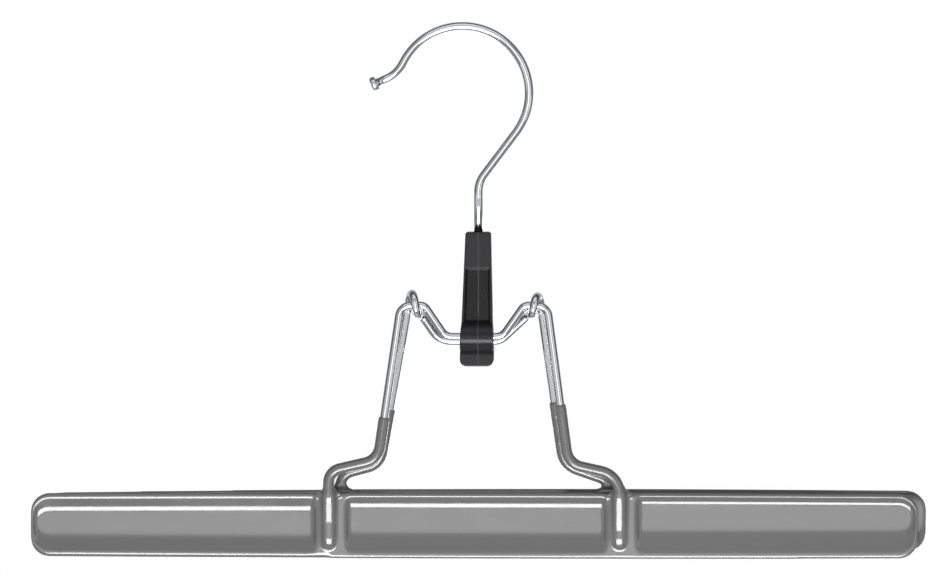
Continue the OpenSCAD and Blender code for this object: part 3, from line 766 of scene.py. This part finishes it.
class Jaw:
    """The forms of one jaw, as heights over the middle plane between the jaws. Lengths are in metres."""

    def __init__(self, node, wire_node, body, back):
        s = bpy.context.scene.hanger_jaws
        f = bpy.context.scene.hanger_frames
        self.s, self.back, self.body, self.node = s, back, body, node
        low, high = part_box(node)
        self.half_w = (high.x - low.x) / 2
        self.half_h = s.height / 2
        self.x = (low.x + high.x) / 2
        self.z = low.z + self.half_h
        self.leg_u = (high.y if back else -low.y) - s.coat - f.wire_d / 2
        self.leg_r = f.wire_d / 2 + s.coat
        self.legs = [foot_x(wire_node, side) - self.x for side in (0, 1)]
        self.leg_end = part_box(wire_node)[0].z - s.coat - self.z + self.leg_r
        end = self.half_w - s.end_rim
        gaps = [x + s.leg_gap_shift for x in self.legs]
        edges = [-end] + [x + side * s.leg_gap / 2 for x in gaps for side in (-1, 1)] + [end]
        self.panels = list(zip(edges[::2], edges[1::2]))
        self.floor = s.gap / 2

    def half_height(self, x):
        """Half the bar's height, which draws in a little towards its ends."""
        return self.half_h + self.s.ease - self.s.crown[self.back] * (x / self.half_w) ** 2

    def panel_share(self, x, z, i, swell):
        """Share of panel i's depth at a point. The swell widens the outline, for the panel's back."""
        s = self.s
        first, last = self.panels[i][0] - swell, self.panels[i][1] + swell
        half_h = self.half_height(x)
        drop = sum(
            corner_drop(gap, s.corner_r - s.end_rim if abs(end) + s.corner_r > self.half_w else s.panel_r + swell)
            for gap, end in ((x - first, first), (last - x, last))
        )
        above = half_h - s.upper_rim + swell / 2 - drop - z
        below = half_h - s.lower_rim[0] + swell / 2 - drop + z
        share = wall(above, s.upper_wall[i], s.sink, s.upper_bend)
        share *= wall(below, s.lower_wall[i], s.sink, s.lower_bend)
        for gap in (x - first, last - x):
            share *= wall(gap, s.end_wall, s.sink, s.end_bend)
        return share

    def height(self, x, z):
        """Height of the dipped face."""
        s = self.s
        half_h = self.half_height(x)
        drop = corner_drop(self.half_w - abs(x), s.corner_r)
        part = sum(x > leg for leg in self.legs)
        face = self.floor + s.sink + s.skin
        face -= rounding(half_h - drop - z, s.upper_rim, s.upper_round)
        face -= rounding(half_h - drop + z, s.lower_rim[part], s.lower_round[part])
        face -= rounding(self.half_w - abs(x), s.end_rim, s.end_rim)
        depth = s.sink + s.lean * (0.5 - z / s.height)
        face -= depth * sum(self.panel_share(x, z, i, 0) for i in range(len(self.panels)))
        for leg, level in zip(self.legs, s.leg_level):
            across = abs(x - leg) / (s.leg_w / 2)
            below = max(self.leg_end + s.leg_fade - self.leg_r - z, 0.0) / s.leg_fade
            rest = 1 - across**4 - below**2
            crest = self.leg_u - s.leg_slope * min(self.half_h - z, level)
            if rest > 0:
                crest += self.leg_r * math.sqrt(rest)
            else:
                crest -= FLANK_STEEPNESS * self.leg_r * (math.hypot(across, below) - 1)
            face = blend_max(face, crest, s.leg_fillet)
        return face

    def back_height(self, x, z):
        """Height of the bar's back, flat where the panels grip the cloth."""
        s = self.s
        share = sum(self.panel_share(x, z, i, s.coat * 2) for i in range(len(self.panels)))
        return self.floor + s.sink * (1 - min(BACK_SPREAD * share, 1.0))

    def sheet_front(self, x, z):
        """Height of the steel's front, a coat below the dipped face."""
        s = self.s
        return min(self.height(x, z), self.floor + s.sink + s.skin) - s.coat

    def sheet_back(self, x, z):
        """Height of the steel's back, a coat above the dip's back, or thinner where the walls are steep."""
        return min(self.back_height(x, z) + self.s.coat, self.sheet_front(x, z) - self.s.thinnest)

    def place(self, x, u, z):
        rise = self.s.slant[self.back] * x / self.half_w
        return Vector((x + self.x, u if self.back else -u, z + self.z + rise))


def both_jaws():
    """The two jaws, with the function for their frame's corners and the height of their sleeves' edges."""
    s = bpy.context.scene.hanger_frames
    return (
        ("front", Jaw("front_jaw_coating", "front_wire", "front_frame", False), front_side, s.coat_drop),
        ("rear", Jaw("rear_jaw_coating", "rear_wire", "rear_frame", True), rear_side, s.rear_coat_drop),
    )


def bar(bm, jaw, step, inset, front, back):
    """A grid drawn into the bar's outline and raised to a front and a back height."""
    half_w, r = jaw.half_w - inset, jaw.s.corner_r - inset
    across, upward = round(2 * half_w / step), round(2 * jaw.half_h / step)
    made = bmesh.ops.create_grid(bm, x_segments=across, y_segments=upward, size=1.0)
    for v in made["verts"]:
        x = v.co.x * half_w
        reach = jaw.half_height(x) - inset - corner_drop(half_w - abs(x), r)
        v.co = Vector((x, v.co.y * reach, 0))
    behind = bmesh.ops.extrude_face_region(bm, geom=list(bm.faces))["geom"]
    behind = {v for v in behind if isinstance(v, bmesh.types.BMVert)}
    for v in bm.verts:
        x, z = v.co.x, v.co.y
        v.co = jaw.place(x, back(x, z) if v in behind else front(x, z), z)
    bmesh.ops.recalc_face_normals(bm, faces=bm.faces)


class HANGER_OT_jaws(bpy.types.Operator):
    """Makes the dipped skins of both jaws, with their sleeves on the legs."""

    bl_idname = "hanger.jaws"
    bl_label = "Dipped jaws"

    def execute(self, context):
        for place, jaw, frame_side, drops in both_jaws():
            bm = bmesh.new()
            bar(bm, jaw, jaw.s.dip_step, 0, jaw.height, jaw.back_height)
            for side in (0, 1):
                self.sleeve(bm, jaw, *frame_side(side), drops[side])
                for way in (-1, 1):
                    self.web(bm, jaw, jaw.legs[side], way)
            skin = fused(bm, f"{place}_dipped_jaw", jaw.s.voxel, DIP_ROUNDS)
            add_piece(skin, f"{place}_dipped_jaw", jaw.body, "grey_dip", [jaw.node])
        return {"FINISHED"}

    @staticmethod
    def sleeve(bm, jaw, corners, radii, drop):
        """Coating on one leg, from its edge down into the bar."""
        foot, knee, top = corners[3:6]
        start = knee.lerp(top, (HINGE.z - drop - knee.z) / (top.z - knee.z))
        low = Vector((foot.x, foot.y, jaw.z + jaw.half_h - jaw.leg_r))
        bent_wire(bm, [start, knee, foot, low], [0, radii[4], radii[3], 0], jaw.leg_r, 24)

    @staticmethod
    def web(bm, jaw, leg, way):
        """The dip's web in the corner between a leg and the bar's upper edge."""
        r, top = jaw.s.web_r, jaw.half_height(leg)
        side = leg + way * (jaw.leg_r + r)
        turns = [math.radians(15 * i) for i in range(7)]
        outline = [(side - way * r * math.cos(a), top + r - r * math.sin(a)) for a in turns]
        outline += [(side, top - r / 2), (leg, top - r / 2), (leg, top + r)]
        low = jaw.floor + jaw.s.sink + jaw.s.coat
        verts = [bm.verts.new(jaw.place(x, low, z)) for x, z in outline]
        made = bmesh.ops.extrude_face_region(bm, geom=[bm.faces.new(verts)])["geom"]
        raised = [v for v in made if isinstance(v, bmesh.types.BMVert)]
        bmesh.ops.translate(bm, verts=raised, vec=jaw.place(0, jaw.leg_u, 0) - jaw.place(0, low, 0))
        bmesh.ops.recalc_face_normals(bm, faces=list({f for v in verts + raised for f in v.link_faces}))


class HANGER_OT_latch(bpy.types.Operator):
    """Makes the moulded latch, with the eased edges of a moulding."""

    bl_idname = "hanger.latch"
    bl_label = "Latch"

    def execute(self, context):
        bm = bmesh.new()
        bm.from_mesh(frame["nodes"]["latch_lever"].data)
        bmesh.ops.remove_doubles(bm, verts=bm.verts, dist=0.001 * MM)
        skin = fused(bm, "moulded_latch", context.scene.hanger_latch.voxel, MOULDING_ROUNDS)
        add_piece(skin, "moulded_latch", "latch", "black_moulding", ["latch_lever"])
        return {"FINISHED"}


class HANGER_OT_sheets(bpy.types.Operator):
    """Presses the steel sheets inside the dip."""

    bl_idname = "hanger.sheets"
    bl_label = "Jaw sheets"

    def execute(self, context):
        for place, jaw, _, _ in both_jaws():
            bm = bmesh.new()
            bar(bm, jaw, jaw.s.sheet_step, jaw.s.coat, jaw.sheet_front, jaw.sheet_back)
            add_piece(bm, f"{place}_pressed_sheet", jaw.body, "sheet_steel", [f"{place}_jaw_plate"])
        return {"FINISHED"}


# Width of the floor and its drop below the hanger in metres, and what the camera sees it lifted by
FLOOR_SIZE = 5.0
FLOOR_DROP = 1.0
FLOOR_LIFT = 0.62
# Strength of the table and the glow that surfaces mirror, and of the room's light on them
MIRRORED_STRENGTH = 2.4
ROOM_STRENGTH = 0.3


class HANGER_OT_stage(bpy.types.Operator):
    """Sets the camera, the pale floor, the lamps and the world."""

    bl_idname = "hanger.stage"
    bl_label = "Stage"

    def execute(self, context):
        self.camera(context)
        self.floor(context)
        self.lamps(context)
        self.world(context)
        context.scene.view_settings.view_transform = "Standard"
        return {"FINISHED"}

    @staticmethod
    def camera(context):
        """A long lens from the front, a little above the hanger's middle."""
        data = bpy.data.cameras.new("camera")
        camera = bpy.data.objects.new("camera", data)
        context.scene.collection.objects.link(camera)
        context.scene.camera = camera
        far, rise, turn = 2.2, math.radians(2.5), math.radians(2)
        pixel = MM / PHOTO_PX_PER_MM
        middle = Vector(((PHOTO_W / 2 - PHOTO_SHANK_X) * pixel, 0, (PHOTO_SEAT_Y - PHOTO_H / 2) * pixel))
        away = Vector((math.sin(turn) * math.cos(rise), -math.cos(turn) * math.cos(rise), math.sin(rise)))
        camera.location = middle + away * far
        camera.rotation_euler = (-away).to_track_quat("-Z", "Y").to_euler()
        data.lens = data.sensor_width * far / (PHOTO_W / PHOTO_PX_PER_MM * MM)

    @staticmethod
    def floor(context):
        """A pale floor, well below the hanging object."""
        bm = bmesh.new()
        bmesh.ops.create_grid(bm, x_segments=1, y_segments=1, size=FLOOR_SIZE / 2)
        bmesh.ops.translate(bm, verts=bm.verts, vec=(0, 0, CAD_BOX[0].z - FLOOR_DROP))
        mesh = bpy.data.meshes.new("studio_floor")
        bm.to_mesh(mesh)
        bm.free()
        floor = bpy.data.objects.new("studio_floor", mesh)
        context.scene.collection.objects.link(floor)
        made, tree, shader = new_material("painted_floor", linear(colours().floor), {"Roughness": 0.7})
        # Nearly white to the camera, like the background
        path = add_node(tree, "ShaderNodeLightPath")
        lift = add_node(
            tree, "ShaderNodeMath", {1: FLOOR_LIFT}, [(0, path.outputs["Is Camera Ray"])], operation="MULTIPLY"
        )
        shader.inputs["Emission Color"].default_value = (1, 1, 1, 1)
        tree.links.new(lift.outputs[0], shader.inputs["Emission Strength"])
        mesh.materials.append(made)

    @staticmethod
    def lamps(context):
        """Soft boxes: bright ones low in front and behind, a weak one overhead and two weak ones at the sides."""
        # Name, place in metres, width and height in metres, and watts
        for name, place, size, watts in (
            ("low_box", (-0.02, -0.9, -0.63), (0.68, 0.42), 10.5),
            ("overhead_box", (0, -0.7, 0.9), (1.4, 0.8), 2),
            ("left_box", (-0.95, -0.9, 0.15), (0.5, 0.9), 0.3),
            ("right_box", (0.95, -0.9, 0.15), (0.5, 0.9), 1),
            ("back_box", (0.1, 1.1, -0.65), (1.2, 0.8), 9),
        ):
            data = bpy.data.lights.new(name, "AREA")
            data.shape = "RECTANGLE"
            data.size, data.size_y = size
            data.energy = watts
            lamp = bpy.data.objects.new(name, data)
            context.scene.collection.objects.link(lamp)
            lamp.location = place
            aim = Vector((0, 0, -0.1)) - lamp.location
            lamp.rotation_euler = aim.to_track_quat("-Z", "Y").to_euler()

    @staticmethod
    def world(context):
        """White to the camera. Surfaces mirror a grey room with a white table below and a glow in front."""
        world = bpy.data.worlds.new("grey_room")
        context.scene.world = world
        world.use_nodes = True
        tree = world.node_tree
        tree.nodes.clear()
        path = add_node(tree, "ShaderNodeLightPath")
        place = add_node(tree, "ShaderNodeTexCoord").outputs["Generated"]
        axis = add_node(tree, "ShaderNodeSeparateXYZ", (), [("Vector", place)])
        # Each list has (sine of the angle, share of full white): from below upwards, or from front to back
        table = graded(tree, axis.outputs["Z"], (
            (-1.0, 0.04), (-0.76, 0.05), (-0.6, 0.2), (-0.4, 0.32), (-0.14, 0.3), (-0.04, 0.22), (0.02, 0.0),
        ))
        glow = graded(tree, axis.outputs["Z"], (
            (-0.22, 0.0), (-0.12, 0.93), (0.0, 0.83), (0.1, 0.56), (0.26, 0.27), (0.45, 0.18),
        ))
        room = graded(tree, axis.outputs["Y"], (
            (-1.0, 0.44), (-0.6, 0.4), (-0.28, 0.27), (-0.08, 0.16), (0.03, 0.04), (0.16, 0.05), (0.4, 0.25),
            (0.8, 0.6),
        ))
        # The table ends a little behind the hanger, and the glow is narrow
        forward = graded(tree, axis.outputs["Y"], ((-0.3, 1.0), (0.1, 0.0)))
        narrow = graded(tree, axis.outputs["X"], ((-0.4, 0.0), (-0.12, 1.0), (0.12, 1.0), (0.4, 0.0)))
        low = combined(tree, "MULTIPLY", table, forward)
        front = combined(tree, "MULTIPLY", combined(tree, "MULTIPLY", glow, narrow), forward)
        bright = add_node(
            tree, "ShaderNodeMath", {1: MIRRORED_STRENGTH}, [(0, combined(tree, "MAXIMUM", low, front))],
            operation="MULTIPLY",
        )
        total = combined(tree, "MAXIMUM", bright.outputs[0], room)
        seen = add_node(tree, "ShaderNodeBackground", {"Color": (1, 1, 1, 1), "Strength": 1.0})
        shine = add_node(tree, "ShaderNodeBackground", {"Color": (1, 1, 1, 1)}, [("Strength", total)])
        fill = add_node(tree, "ShaderNodeBackground", {"Color": (1, 1, 1, 1), "Strength": ROOM_STRENGTH})
        glossy = add_node(
            tree, "ShaderNodeMixShader", (),
            [(0, path.outputs["Is Glossy Ray"]), (1, fill.outputs[0]), (2, shine.outputs[0])],
        )
        final = add_node(
            tree, "ShaderNodeMixShader", (),
            [(0, path.outputs["Is Camera Ray"]), (1, glossy.outputs[0]), (2, seen.outputs[0])],
        )
        add_node(tree, "ShaderNodeOutputWorld", (), [("Surface", final.outputs[0])])


class HANGER_PT_panel(bpy.types.Panel):
    """Lists the pieces of the hanger."""

    bl_label = "Trouser hanger"
    bl_idname = "HANGER_PT_panel"
    bl_space_type = "VIEW_3D"
    bl_region_type = "UI"
    bl_category = "Hanger"

    def draw(self, context):
        for operator in OPERATORS:
            self.layout.operator(operator.bl_idname)


OPERATORS = (HANGER_OT_stage, HANGER_OT_hook, HANGER_OT_frames, HANGER_OT_latch, HANGER_OT_sheets, HANGER_OT_jaws)
GROUPS = {
    "hanger_hook": HangerHookSizes,
    "hanger_latch": HangerLatchSizes,
    "hanger_frames": HangerFrameSizes,
    "hanger_jaws": HangerJawSizes,
    "hanger_colours": HangerColours,
}


def register():
    for cls in (*GROUPS.values(), *OPERATORS, HANGER_PT_panel):
        bpy.utils.register_class(cls)
    for name, group in GROUPS.items():
        setattr(bpy.types.Scene, name, PointerProperty(type=group))


def unregister():
    for name in GROUPS:
        delattr(bpy.types.Scene, name)
    for cls in (HANGER_PT_panel, *reversed(OPERATORS), *GROUPS.values()):
        bpy.utils.unregister_class(cls)


def main():
    register()
    bpy.ops.hanger.stage()
    bpy.ops.hanger.hook()
    bpy.ops.hanger.frames()
    bpy.ops.hanger.latch()
    bpy.ops.hanger.sheets()
    bpy.ops.hanger.jaws()


if __name__ == "__main__":
    main()
